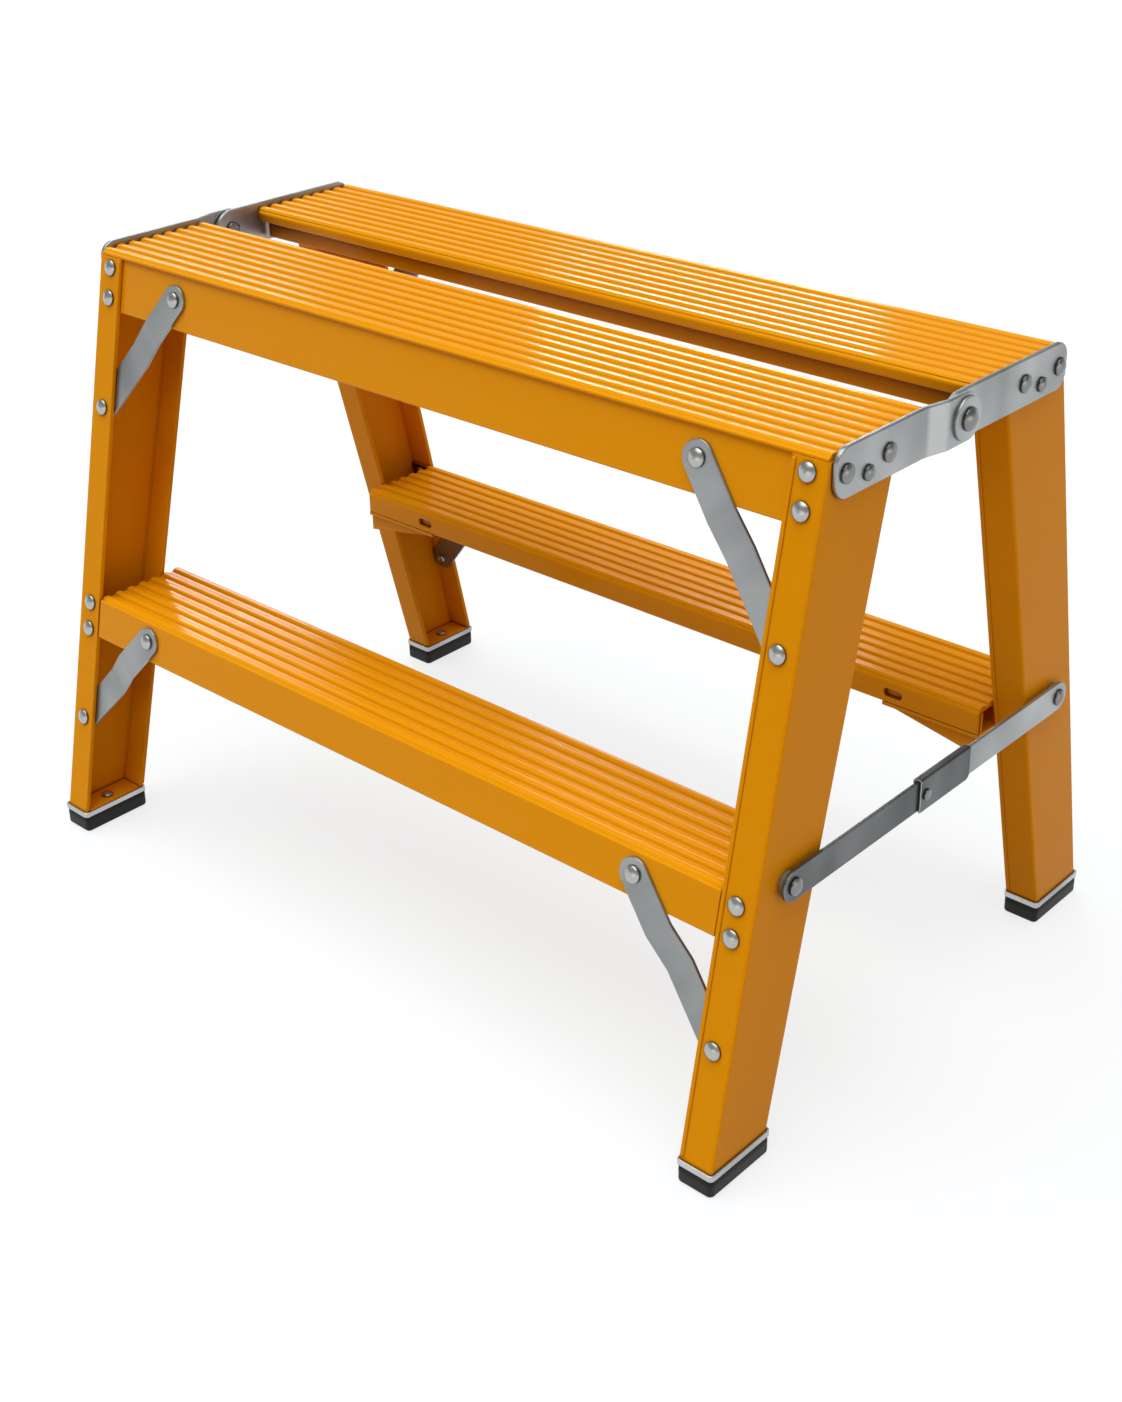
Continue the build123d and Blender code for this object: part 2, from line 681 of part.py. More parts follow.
def strap(offset, hole):
    """Strap of the front right leg, from its squared end to its round end at the pivot."""
    bend_end = -strap_radius - strap_flat_margin
    bend_start = bend_end - strap_bend_length
    shift = strap_thickness * tan(atan2(offset, strap_bend_length) / 2)
    inside = half_length
    outside = half_length + strap_thickness
    with BuildPart() as plate:
        with BuildSketch(Plane.XY.offset(hinge_z - strap_radius)) as side:
            with BuildLine():
                Polyline(
                    (inside, strap_end),
                    (inside, bend_start),
                    (inside + offset, bend_end),
                    (inside + offset, strap_radius),
                    (outside + offset, strap_radius),
                    (outside + offset, bend_end - shift),
                    (outside, bend_start - shift),
                    (outside, strap_end),
                    close=True,
                )
            make_face()
            if offset:
                bends = side.vertices().filter_by(lambda v: strap_end < v.Y < 0)
                fillet(bends, strap_bend_round)
        extrude(amount=strap_width)
        with BuildSketch(Plane.YZ.offset(half_length)) as outline:
            with Locations((strap_end / 2, hinge_z)):
                Rectangle(-strap_end, strap_width)
            fillet(outline.vertices().group_by(Axis.X)[0], strap_corner)
            with Locations((0, hinge_z)):
                Circle(strap_radius)
        extrude(amount=offset + strap_thickness, mode=Mode.INTERSECT)
        faces = plate.faces().filter_by(lambda f: abs(f.normal_at().X) > 0.8)
        bend_lines = faces.edges().filter_by(Axis.Z).filter_by(lambda e: e.length > 2 * strap_corner)
        fillet(faces.edges() - bend_lines, strap_edge)
        with Locations(*[end_plane(y, z, 2 * strap_thickness) for y, z in strap_rivet_places]):
            Hole(rivet_hole, depth=3 * strap_thickness)
        with Locations(end_plane(0, hinge_z, offset + 2 * strap_thickness)):
            Hole(hole, depth=4 * strap_thickness)
    return plate.part


write_ends(strap(strap_offset, hinge_shank / 2 + rivet_fit), "front_strap")
write_ends(to_rear(strap(0, hinge_shank / 2 + pivot_fit)), "rear_strap")

washer_stand = strap_offset + strap_thickness
hinge_stand = washer_stand + hinge_washer_thickness
with BuildPart() as hinge_washer_disc:
    with BuildSketch(end_plane(0, hinge_z, washer_stand)):
        Circle(hinge_washer / 2)
        Circle(hinge_shank / 2 + rivet_fit, mode=Mode.SUBTRACT)
    extrude(amount=hinge_washer_thickness)
    fillet(hinge_washer_disc.faces().sort_by(Axis.X)[-1].outer_wire().edges(), hinge_washer_edge)
write(both_ends([hinge_washer_disc.part]), "hinge_washers")

hinge_rivet = headed_pin(
    end_plane(0, hinge_z, hinge_stand),
    hinge_stand + pivot_play,
    hinge_head,
    hinge_head_height,
    hinge_shank,
    hinge_tail,
    hinge_tail_height,
    hinge_tail_bore,
)
write(both_ends([hinge_rivet]), "hinge_rivets")

# Spreader: the front bar turns in a folded sleeve that is fixed on the rear bar
front_pivot = (spreader_y, spreader_height)
rear_pivot = (-spreader_y, spreader_height)
knuckle = (knuckle_offset, spreader_height)
bar_outside = spreader_stand + bar_thickness
with BuildPart() as front_bar:
    with BuildSketch(end_plane(0, 0, spreader_stand)):
        with Locations(((spreader_y + knuckle_offset) / 2, spreader_height)):
            SlotCenterToCenter(knuckle_offset - spreader_y, bar_width)
    extrude(amount=bar_thickness)
    fillet(front_bar.faces().filter_by(Axis.X).edges(), bar_edge)
    with Locations(end_plane(*front_pivot, bar_outside)):
        Hole(pivot_hole, depth=bar_thickness)
    with Locations(end_plane(*knuckle, bar_outside)):
        Hole(knuckle_shank / 2 + pivot_fit, depth=bar_thickness)
write(front_bar.part, "spreader_front_bar")

bar_angle = radians(folded_bar_angle)
bar_gap = (bar_width / 2 * (1 + cos(bar_angle)) + folded_bar_fit) / sin(bar_angle)
rear_bar_start = knuckle_offset + bar_gap
with BuildPart() as rear_bar:
    with BuildSketch(end_plane(0, 0, spreader_stand)):
        with Locations(((rear_bar_start - spreader_y) / 2, spreader_height)):
            Rectangle(-spreader_y - rear_bar_start, bar_width)
        with Locations(rear_pivot):
            Circle(bar_width / 2)
    extrude(amount=bar_thickness)
    fillet(rear_bar.faces().filter_by(Axis.X).edges(), bar_edge)
    with Locations(end_plane(*rear_pivot, bar_outside)):
        Hole(rivet_hole, depth=bar_thickness)
write(rear_bar.part, "spreader_rear_bar")

sleeve_inside = spreader_stand - sleeve_fit
sleeve_outside = bar_outside + sleeve_fit
sleeve_top = spreader_height + bar_width / 2 + sleeve_fit
sleeve_bottom = spreader_height - bar_width / 2 - sleeve_drop
sleeve_gap = sleeve_outside - sleeve_inside
sleeve_middle = half_length + (sleeve_inside + sleeve_outside) / 2
with BuildPart() as sleeve:
    with BuildSketch(Plane.XZ.offset(sleeve_front - knuckle_offset)) as fold:
        with Locations((sleeve_middle, sleeve_bottom)):
            Rectangle(
                sleeve_gap + 2 * sleeve_wall,
                sleeve_top + sleeve_wall - sleeve_bottom,
                align=(Align.CENTER, Align.MIN),
            )
        fillet(fold.vertices().group_by(Axis.Y)[-1], sleeve_round)
        with Locations((sleeve_middle, sleeve_bottom)):
            Rectangle(
                sleeve_gap,
                sleeve_top - sleeve_bottom,
                align=(Align.CENTER, Align.MIN),
                mode=Mode.SUBTRACT,
            )
    extrude(amount=-sleeve_front - sleeve_back)
    back_corners = sleeve.edges().filter_by(Axis.X).group_by(Axis.Y)[-1].group_by(Axis.Z)[0]
    fillet(back_corners, sleeve_corner)
    with Locations(end_plane(*knuckle, sleeve_outside + sleeve_wall)):
        Hole(knuckle_shank / 2 + rivet_fit, depth=sleeve_gap + 2 * sleeve_wall)
write(sleeve.part, "spreader_sleeve")

knuckle_rivet = headed_pin(
    end_plane(*knuckle, sleeve_outside + sleeve_wall),
    sleeve_gap + 2 * sleeve_wall,
    knuckle_head,
    knuckle_head_height,
    knuckle_shank,
    knuckle_tail,
    knuckle_tail_height,
    knuckle_tail_bore,
)
write(knuckle_rivet, "spreader_knuckle_rivet")

# Spreader pivots: a spacer and a rivet in each right-hand leg web
head_stand = bar_outside + pivot_play
spacer_thickness = spreader_stand - pivot_play
front_spacer = ring(end_plane(*front_pivot), spacer_thickness, spacer_diameter, 2 * rivet_hole)
write(front_spacer, "spreader_front_spacer")
front_rivet = rivet(end_plane(*front_pivot, head_stand), head_stand + leg_wall)
write(front_rivet, "spreader_front_rivet")

# The rear rivet is parted at the leg web's outer face, where the linkage is opened
rear_spacer = ring(end_plane(*rear_pivot, pivot_play), spacer_thickness, spacer_diameter, 2 * rivet_hole)
write(rear_spacer, "spreader_rear_spacer")
rear_rivet = turned(
    end_plane(*rear_pivot, bar_outside),
    [
        (0, rivet_head_height),
        (rivet_head / 2, rivet_rim),
        (rivet_head / 2, 0),
        (rivet_shank / 2, 0),
        (rivet_shank / 2, pivot_play - bar_outside),
        (0, pivot_play - bar_outside),
    ],
)
write(rear_rivet, "spreader_rear_rivet")
with BuildPart() as rear_tail:
    with BuildSketch(end_plane(*rear_pivot, -leg_wall)):
        Circle(rivet_shank / 2)
    extrude(amount=leg_wall)
    with BuildSketch(end_plane(*rear_pivot, -leg_wall)):
        Circle(rivet_tail / 2)
    extrude(amount=-rivet_tail_height)
write(rear_tail.part, "spreader_rear_rivet_tail")
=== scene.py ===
from math import cos, radians, sin

import bmesh
import bpy
from mathutils import Color, Matrix, Vector


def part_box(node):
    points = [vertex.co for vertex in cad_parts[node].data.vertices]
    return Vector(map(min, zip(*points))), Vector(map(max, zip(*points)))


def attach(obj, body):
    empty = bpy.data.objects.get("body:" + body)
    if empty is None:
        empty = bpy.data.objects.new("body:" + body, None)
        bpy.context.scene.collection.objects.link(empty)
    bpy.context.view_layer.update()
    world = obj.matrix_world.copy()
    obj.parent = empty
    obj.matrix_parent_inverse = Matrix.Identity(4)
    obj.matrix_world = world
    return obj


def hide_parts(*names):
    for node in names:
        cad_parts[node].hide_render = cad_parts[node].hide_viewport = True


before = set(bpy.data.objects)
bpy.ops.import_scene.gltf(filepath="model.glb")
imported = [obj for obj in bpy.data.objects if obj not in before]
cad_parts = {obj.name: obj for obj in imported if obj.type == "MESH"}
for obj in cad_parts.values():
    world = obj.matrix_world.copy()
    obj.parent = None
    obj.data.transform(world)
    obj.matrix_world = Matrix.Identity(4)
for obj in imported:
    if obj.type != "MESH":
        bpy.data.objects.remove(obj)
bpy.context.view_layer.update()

# Legs: four tapered channels pressed from aluminium sheet, open towards the middle of the ladder.
# They are riveted to the steps, and powder coated in glossy orange over the sheet's faint rolling lines.
# A plate set into each one's foot has the same paint.
FRAMES = ("front", "rear")
ENDS = ("right", "left")
SCREEN_WHITE = 255
PATTERN_DARK = 0.3
PATTERN_LIGHT = 0.7
EDGE_SAMPLES = 6
# Painted shade: the paint turns brown where other surfaces stand close, in seams and round rivet heads.
SHADE_SAMPLES = 12
SHADE_REACH = 0.003
SHADE_SHUT = 0.3
SHADE_OPEN = 0.92
SHADE_BROWN = (150, 72, 4)
PAINT_DARK = (231, 149, 10)
PAINT_LIGHT = (235, 154, 13)
PAINT_GLINT = (255, 190, 90)
PAINT_EDGE = 0.0012
PAINT_CLOUD = (0.4, 0.06)
METAL_LINE = (0.15, 0.0013)
PEEL_SIZE = 0.0016
PEEL_DETAIL = 1.0
PEEL_DEPTH = 0.000004
GLOSS_CLOUD = 0.05
GLOSS_SPREAD = 0.03
LEG_LINE_DEPTH = 0.000003
LEG_SHEEN = 0.06
LEG_DULLNESS = 0.3


def srgb(screen):
    """Three screen values from 0 to 255, as the linear colour that a shader takes."""
    linear = Color([level / SCREEN_WHITE for level in screen]).from_srgb_to_scene_linear()
    return (*linear, 1.0)


def start_finish(name):
    """A new material with its node tree and its shader."""
    finish = bpy.data.materials.new(name)
    finish.use_nodes = True
    tree = finish.node_tree
    return finish, tree, tree.nodes["Principled BSDF"]


def own_place(tree):
    """The piece's own coordinates, in metres."""
    return tree.nodes.new("ShaderNodeTexCoord").outputs["Object"]


def wire(tree, kind, inputs, output=0, **settings):
    """Adds a node, sets or links its inputs by name or number, and returns one of its outputs."""
    made = tree.nodes.new(kind)
    for name, value in settings.items():
        setattr(made, name, value)
    for key, value in inputs.items():
        if isinstance(value, bpy.types.NodeSocket):
            tree.links.new(value, made.inputs[key])
        else:
            made.inputs[key].default_value = value
    return made.outputs[output]


def ramp(tree, value, start, end, first, last, course="LINEAR"):
    """A number that goes from first to last as a value goes from start to end."""
    inputs = {"Value": value, "From Min": start, "From Max": end, "To Min": first, "To Max": last}
    return wire(tree, "ShaderNodeMapRange", inputs, interpolation_type=course)


def along(tree, place, direction, streak):
    """Coordinates in which one unit is a streak's length along a direction and its width across it."""
    length, width = streak
    turn = Vector((1, 0, 0)).rotation_difference(direction).to_euler()
    inputs = {"Vector": place, "Rotation": turn, "Scale": (length, width, width)}
    return wire(tree, "ShaderNodeMapping", inputs, vector_type="TEXTURE")


def noise(tree, vector, size=1.0, detail=2.0):
    """A cloudy pattern from 0 to 1 whose lumps are about the given size."""
    return wire(tree, "ShaderNodeTexNoise", {"Vector": vector, "Scale": 1 / size, "Detail": detail})


def between(tree, pattern, low, high):
    """A number that goes from low to high as the pattern goes from dark to light."""
    return ramp(tree, pattern, PATTERN_DARK, PATTERN_LIGHT, low, high)


def blended(tree, share, first, second):
    """A colour that goes from the first to the second with a share from 0 to 1."""
    return wire(tree, "ShaderNodeMix", {0: share, 6: first, 7: second}, output=2, data_type="RGBA")


def bumped(tree, height, depth, under=None):
    """A surface normal raised by a pattern as deep as given, on top of another one."""
    inputs = {"Height": height, "Distance": depth, "Strength": 1.0}
    if under is not None:
        inputs["Normal"] = under
    return wire(tree, "ShaderNodeBump", inputs)


def rounded(tree, radius):
    """A surface normal that rounds sharp edges, so that they catch the light."""
    return wire(tree, "ShaderNodeBevel", {"Radius": radius}, samples=EDGE_SAMPLES)


def with_painted_shade(tree, tone, dark, open_at, reach, shut_at=SHADE_SHUT):
    """Painted shade: a colour that darkens where other surfaces stand close, as in seams and round rivet
    heads.
    """
    inputs = {"Distance": reach}
    open_share = wire(tree, "ShaderNodeAmbientOcclusion", inputs, output="AO", samples=SHADE_SAMPLES)
    return blended(tree, ramp(tree, open_share, shut_at, open_at, 0.0, 1.0), dark, tone)


def leg_shade(tree, tone):
    """Paint with painted shade close to seams."""
    return with_painted_shade(tree, tone, srgb(SHADE_BROWN), SHADE_OPEN, SHADE_REACH)


def orange_paint(name, direction, shade, line_depth, sheen, dullness):
    """Orange powder coat over metal whose rolling or extrusion lines run along the direction."""
    finish, tree, shader = start_finish(name)
    place = own_place(tree)
    cloud = noise(tree, along(tree, place, direction, PAINT_CLOUD))
    tone = blended(tree, cloud, srgb(PAINT_DARK), srgb(PAINT_LIGHT))
    tree.links.new(shade(tree, tone), shader.inputs["Base Color"])
    patches = noise(tree, place, size=GLOSS_CLOUD)
    gloss = between(tree, patches, dullness - GLOSS_SPREAD, dullness + GLOSS_SPREAD)
    tree.links.new(gloss, shader.inputs["Roughness"])
    peel = noise(tree, place, size=PEEL_SIZE, detail=PEEL_DETAIL)
    peeled = bumped(tree, peel, PEEL_DEPTH, rounded(tree, PAINT_EDGE))
    lines = noise(tree, along(tree, place, direction, METAL_LINE))
    tree.links.new(bumped(tree, lines, line_depth, peeled), shader.inputs["Normal"])
    shader.inputs["Specular IOR Level"].default_value = sheen
    shader.inputs["Specular Tint"].default_value = srgb(PAINT_GLINT)
    return finish


def paint(names, finish):
    """Gives a finish to CAD nodes, which keep their shape."""
    for name in names:
        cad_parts[name].material_slots[0].material = finish


def leg_direction(which):
    """The way a frame's legs run, up from the foot pad to the top step."""
    foot_low, foot_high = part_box(f"{which}_right_foot_pad")
    step_low, step_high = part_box(f"{which}_top_step")
    rise = (step_low + step_high - foot_low - foot_high) / 2
    return Vector((0, rise.y, rise.z)).normalized()


for which in FRAMES:
    leg_paint = orange_paint(
        f"{which}_leg_paint",
        leg_direction(which),
        leg_shade,
        LEG_LINE_DEPTH,
        LEG_SHEEN,
        LEG_DULLNESS,
    )
    paint([f"{which}_{end}_leg" for end in ENDS], leg_paint)
    paint([f"{which}_foot_plates"], leg_paint)

# Steps and step brackets: the steps are ribbed aluminium extrusions with an apron and a lip, painted.
# The extruder's lines run along them. Rivets fix the top ones to the legs, and brackets on the legs,
# folded and painted the same, carry the lower ones.
LENGTHWAYS = Vector((1, 0, 0))
UPRIGHT = 0.4
LEVEL = 0.6
INWARDS = -0.008
OUTWARDS = -0.002
# Painted shade: it reaches far on level faces between the ribs, and is darkest in the hollow behind each
# inner lip.
TREAD_REACH = 0.02
HOLLOW_REACH = 0.08
HOLLOW_SHUT = 0.45
HOLLOW_OPEN = 0.86
HOLLOW_SHADE_BROWN = (84, 32, 1)
STEP_LINE_DEPTH = 0.00002
STEP_SHEEN = 0.16
STEP_DULLNESS = 0.16


def face_normal(tree):
    """The way a face looks."""
    return tree.nodes.new("ShaderNodeNewGeometry").outputs["Normal"]


def one_axis(tree, vector, axis):
    """One of a vector's three numbers."""
    return wire(tree, "ShaderNodeSeparateXYZ", {"Vector": vector}, output=axis)


def by_facing(tree, upright, level):
    """A number that goes from one value on upright faces to another on faces that look up."""
    return ramp(tree, one_axis(tree, face_normal(tree), "Z"), UPRIGHT, LEVEL, upright, level)


def facing_in(tree):
    """One on faces that look towards the middle of the ladder, and nought on the others."""
    inputs = {0: face_normal(tree), 1: own_place(tree)}
    both = wire(tree, "ShaderNodeVectorMath", inputs, operation="MULTIPLY")
    return ramp(tree, one_axis(tree, both, "Y"), INWARDS, OUTWARDS, 1.0, 0.0)


def step_shade(tree, tone):
    """Paint with painted shade between the ribs, and darker painted shade in the hollow behind a step's
    inner lip.
    """
    open_at = by_facing(tree, HOLLOW_OPEN, SHADE_OPEN)
    shut_at = by_facing(tree, HOLLOW_SHUT, SHADE_SHUT)
    reach = by_facing(tree, HOLLOW_REACH, TREAD_REACH)
    hollow = blended(tree, facing_in(tree), tone, srgb(HOLLOW_SHADE_BROWN))
    dark = blended(tree, by_facing(tree, 0.0, 1.0), hollow, srgb(SHADE_BROWN))
    return with_painted_shade(tree, tone, dark, open_at, reach, shut_at)


step_paint = orange_paint(
    "step_paint",
    LENGTHWAYS,
    step_shade,
    STEP_LINE_DEPTH,
    STEP_SHEEN,
    STEP_DULLNESS,
)
for which in FRAMES:
    paint([f"{which}_top_step", f"{which}_lower_step"], step_paint)
    paint([f"{which}_{end}_step_bracket" for end in ENDS], step_paint)

# Braces, hinge straps and spreader: galvanised steel strip, cut, pierced and bent or folded in a press.
# The rolled face keeps fine lines along each strip and a faint cloud of zinc.
# Edges are painted bright, as wear and as painted highlight. A painted highlight crosses each front
# set-down.
# Painted shade darkens the steel round rivet heads, and the front bar and sleeve are greyer as painted
# shade.
# All of them are riveted on.
CROSSWAYS = Vector((0, 1, 0))
STRIP_EDGE = 0.001
# Painted shade darkens the steel close round rivet heads and parts that touch it.
STRIP_SHADE_REACH = 0.0015
STRIP_SHADE_OPEN = 0.8
STRIP_SHADE_GREY = (70, 71, 73)
STRIP_DARKER = (-26, -23, -20)
STRIP_LIGHTER = (22, 25, 28)
STRIP_GLOSS = (0.31, 0.37)
STRIP_METAL = 0.85
ROLLED_LINE = (0.09, 0.0012)
ROLLED_DETAIL = 3.0
ROLLED_SHARE = 0.25
ZINC_CLOUD = (0.045, 0.09)
ZINC_DETAIL = 1.0
# Edges painted bright, partly as wear and partly as painted highlight.
WORN_AND_HIGHLIT_FULLY = 0.85
WORN_AND_HIGHLIT_NOT = 0.99
WORN_AND_HIGHLIT = (228, 230, 232)
SET_DOWN = -0.029
SET_DOWN_LENGTH = 0.021
SET_DOWN_FADE = 0.004
# Painted highlight across the front straps' set-down.
SET_DOWN_HIGHLIGHT = (26, 29, 31)
BRACE_GREY = 143
STRAP_GREY = 160
SET_DOWN_GREY = 162
# The front bar and sleeve take a darker grey of the same steel, as painted shade.
SHADED_SLEEVE_GREY = 94


def tinted(grey, shift):
    """The colour of a grey's screen value, shifted by its own amount in red, green and blue."""
    return srgb([grey + step for step in shift])


def worked_out(tree, operation, *numbers, **settings):
    """The result of a sum on numbers or patterns."""
    return wire(tree, "ShaderNodeMath", dict(enumerate(numbers)), operation=operation, **settings)


def painted_set_down_highlight(tree, place, tone, bright):
    """A painted highlight: a colour that is brighter across a strap's set-down."""
    offset = worked_out(tree, "SUBTRACT", one_axis(tree, place, "Y"), SET_DOWN)
    away = worked_out(tree, "ABSOLUTE", offset)
    half = SET_DOWN_LENGTH / 2
    return blended(tree, ramp(tree, away, half - SET_DOWN_FADE, half, 1.0, 0.0), tone, bright)


def worn_and_highlit(tree, tone, soft, bright):
    """Wear and painted highlight: a colour that is bright along edges, where the rounded normal leaves
    the face's own.
    """
    inputs = {0: face_normal(tree), 1: soft}
    match = wire(tree, "ShaderNodeVectorMath", inputs, output="Value", operation="DOT_PRODUCT")
    return blended(tree, ramp(tree, match, WORN_AND_HIGHLIT_FULLY, WORN_AND_HIGHLIT_NOT, 1.0, 0.0), tone, bright)


def galvanised_steel(name, direction, grey, set_down=False):
    """Satin zinc on rolled strip, with lines along the strip and a mean screen value for its grey."""
    finish, tree, shader = start_finish(name)
    place = own_place(tree)
    lines = noise(tree, along(tree, place, direction, ROLLED_LINE), detail=ROLLED_DETAIL)
    cloud = noise(tree, along(tree, place, direction, ZINC_CLOUD), detail=ZINC_DETAIL)
    clouded = between(tree, cloud, 0.0, 1 - ROLLED_SHARE)
    mottle = worked_out(tree, "MULTIPLY_ADD", lines, ROLLED_SHARE, clouded)
    tone = blended(tree, mottle, tinted(grey, STRIP_DARKER), tinted(grey, STRIP_LIGHTER))
    # A painted highlight across the set-down.
    if set_down:
        tone = painted_set_down_highlight(tree, place, tone, tinted(grey, SET_DOWN_HIGHLIGHT))
    soft = rounded(tree, STRIP_EDGE)
    # Edges painted bright, as wear and as painted highlight.
    tone = worn_and_highlit(tree, tone, soft, srgb(WORN_AND_HIGHLIT))
    # Painted shade close round rivet heads.
    tone = with_painted_shade(tree, tone, srgb(STRIP_SHADE_GREY), STRIP_SHADE_OPEN, STRIP_SHADE_REACH)
    tree.links.new(tone, shader.inputs["Base Color"])
    tree.links.new(between(tree, lines, *STRIP_GLOSS), shader.inputs["Roughness"])
    tree.links.new(soft, shader.inputs["Normal"])
    shader.inputs["Metallic"].default_value = STRIP_METAL
    return finish


def brace_direction(name):
    """The way a brace runs, from its box."""
    low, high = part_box(name)
    side = 1 if "right" in name else -1
    return Vector(((low.x - high.x) * side, 0, high.z - low.z)).normalized()


for which in FRAMES:
    for end in ENDS:
        for level in ("upper", "lower"):
            brace = f"{which}_{end}_{level}_brace"
            paint([brace], galvanised_steel(brace + "_steel", brace_direction(brace), BRACE_GREY))

strip_steel = galvanised_steel("strip_steel", CROSSWAYS, STRAP_GREY)
set_down_highlit_steel = galvanised_steel("set_down_highlit_steel", CROSSWAYS, SET_DOWN_GREY, set_down=True)
shaded_sleeve_steel = galvanised_steel("shaded_sleeve_steel", CROSSWAYS, SHADED_SLEEVE_GREY)
for end in ENDS:
    paint([f"{end}_front_strap"], set_down_highlit_steel)
    paint([f"{end}_rear_strap"], strip_steel)
paint(["spreader_rear_bar", "hinge_washers"], strip_steel)
# The front bar and sleeve are a darker grey of the same steel, as painted shade.
paint(["spreader_front_bar", "spreader_sleeve"], shaded_sleeve_steel)

# Rivets and screws: zinc plated steel with domed heads, set cold, so the heads are smooth.
# Those in the straps, the hinge and the spreader are a darker grey than those in the steps, braces and
# feet, as painted shade, and every head has painted shade round its rim.
PLATED_EDGE = 0.002
# Painted shade round the rim of each head.
PLATED_SHADE_REACH = 0.006
PLATED_SHADE_OPEN = 0.98
PLATED_SHADE_GREY = (26, 26, 27)
PLATED_CLOUD = 0.006
PLATED_DARKER = (-7, -5, -3)
PLATED_LIGHTER = (7, 8, 10)
PLATED_SPOT = 0.002
PLATED_GLOSS = (0.25, 0.31)
PLATED_METAL = 0.9
BRIGHT_GREY = 180
SHADED_ZINC_GREY = 132


def zinc(name, grey):
    """Cold-formed zinc plated steel with a mean screen value for its grey."""
    finish, tree, shader = start_finish(name)
    place = own_place(tree)
    cloud = noise(tree, place, size=PLATED_CLOUD)
    tone = blended(tree, cloud, tinted(grey, PLATED_DARKER), tinted(grey, PLATED_LIGHTER))
    # Painted shade round the rim of each head.
    tone = with_painted_shade(tree, tone, srgb(PLATED_SHADE_GREY), PLATED_SHADE_OPEN, PLATED_SHADE_REACH)
    tree.links.new(tone, shader.inputs["Base Color"])
    spots = noise(tree, place, size=PLATED_SPOT)
    tree.links.new(between(tree, spots, *PLATED_GLOSS), shader.inputs["Roughness"])
    tree.links.new(rounded(tree, PLATED_EDGE), shader.inputs["Normal"])
    shader.inputs["Metallic"].default_value = PLATED_METAL
    return finish


bright_zinc = zinc("bright_zinc", BRIGHT_GREY)
# The darker zinc is painted shade.
shaded_zinc = zinc("shaded_zinc", SHADED_ZINC_GREY)
for which in FRAMES:
    paint([f"{which}_step_rivets", f"{which}_brace_rivets", f"{which}_foot_screws"], bright_zinc)
    paint([f"{which}_strap_rivets"], shaded_zinc)
paint(["hinge_rivets", "spreader_knuckle_rivet"], shaded_zinc)
paint(["spreader_front_rivet", "spreader_rear_rivet", "spreader_rear_rivet_tail"], shaded_zinc)

# Spacers: rings of grey nylon, moulded to size, that keep the spreader's bars off the legs.
# Each one sits on its pivot rivet, between the end of the bar and the leg.
NYLON_DARK = (112, 112, 110)
NYLON_LIGHT = (126, 126, 124)
NYLON_CLOUD = 0.008
NYLON_DULLNESS = 0.45


def nylon(name):
    """Grey moulded nylon."""
    finish, tree, shader = start_finish(name)
    cloud = noise(tree, own_place(tree), size=NYLON_CLOUD)
    tone = blended(tree, cloud, srgb(NYLON_DARK), srgb(NYLON_LIGHT))
    tree.links.new(tone, shader.inputs["Base Color"])
    shader.inputs["Roughness"].default_value = NYLON_DULLNESS
    return finish


paint(["spreader_front_spacer", "spreader_rear_spacer"], nylon("spacer_nylon"))

# Feet: a folded steel shoe closes the end of each leg, and a black rubber pad below it grips the floor.
# The pad is moulded, with rounded corners, a parting line and a grooved sole.
# One screw holds the shoe and the pad on, and its tail ends in a round recess in the sole.
SHOE_GREY = 186
RUBBER_DARK = (18, 18, 18)
RUBBER_LIGHT = (27, 27, 27)
RUBBER_CLOUD = 0.012
RUBBER_DULLNESS = 0.5
RUBBER_SHEEN = 0.25
GRAIN_SIZE = 0.0006
GRAIN_DEPTH = 0.00003
PAD_CORNER = 0.0042
CORNER_STEPS = 8
SOLE_EDGE = 0.0026
SOLE_EDGE_STEPS = 5
TOP_EDGE = 0.0007
TOP_EDGE_STEPS = 1
PARTING_LINE = 0.0001
PARTING_HALF = 0.0005
PARTING_RISE = 0.002
GROOVES = ((0.92, 0.80), (0.72, 0.60))
GROOVE_FLANK = 0.02
GROOVE_DEPTH = 0.0014
SCREW_HEAD = 0.010
RECESS_RADIUS = 0.007
RECESS_DEPTH = 0.005
FLAT = 0.00001


def rubber(name):
    """Black moulded rubber, matt with a fine grain."""
    finish, tree, shader = start_finish(name)
    place = own_place(tree)
    cloud = noise(tree, place, size=RUBBER_CLOUD)
    tone = blended(tree, cloud, srgb(RUBBER_DARK), srgb(RUBBER_LIGHT))
    tree.links.new(tone, shader.inputs["Base Color"])
    grain = noise(tree, place, size=GRAIN_SIZE)
    tree.links.new(bumped(tree, grain, GRAIN_DEPTH), shader.inputs["Normal"])
    shader.inputs["Roughness"].default_value = RUBBER_DULLNESS
    shader.inputs["Specular IOR Level"].default_value = RUBBER_SHEEN
    return finish


def soften(shape, edges, radius, steps):
    """Rounds edges of a shape."""
    bmesh.ops.bevel(
        shape,
        geom=edges,
        offset=radius,
        offset_type="OFFSET",
        segments=steps,
        profile=0.5,
        affect="EDGES",
        material=-1,
    )


def edges_at(shape, z):
    """The edges that lie level at a height."""
    return [edge for edge in shape.edges if all(abs(vert.co.z - z) < FLAT for vert in edge.verts)]


def vertices_in(geometry):
    """The vertices among what an operator has made."""
    return [item for item in geometry if isinstance(item, bmesh.types.BMVert)]


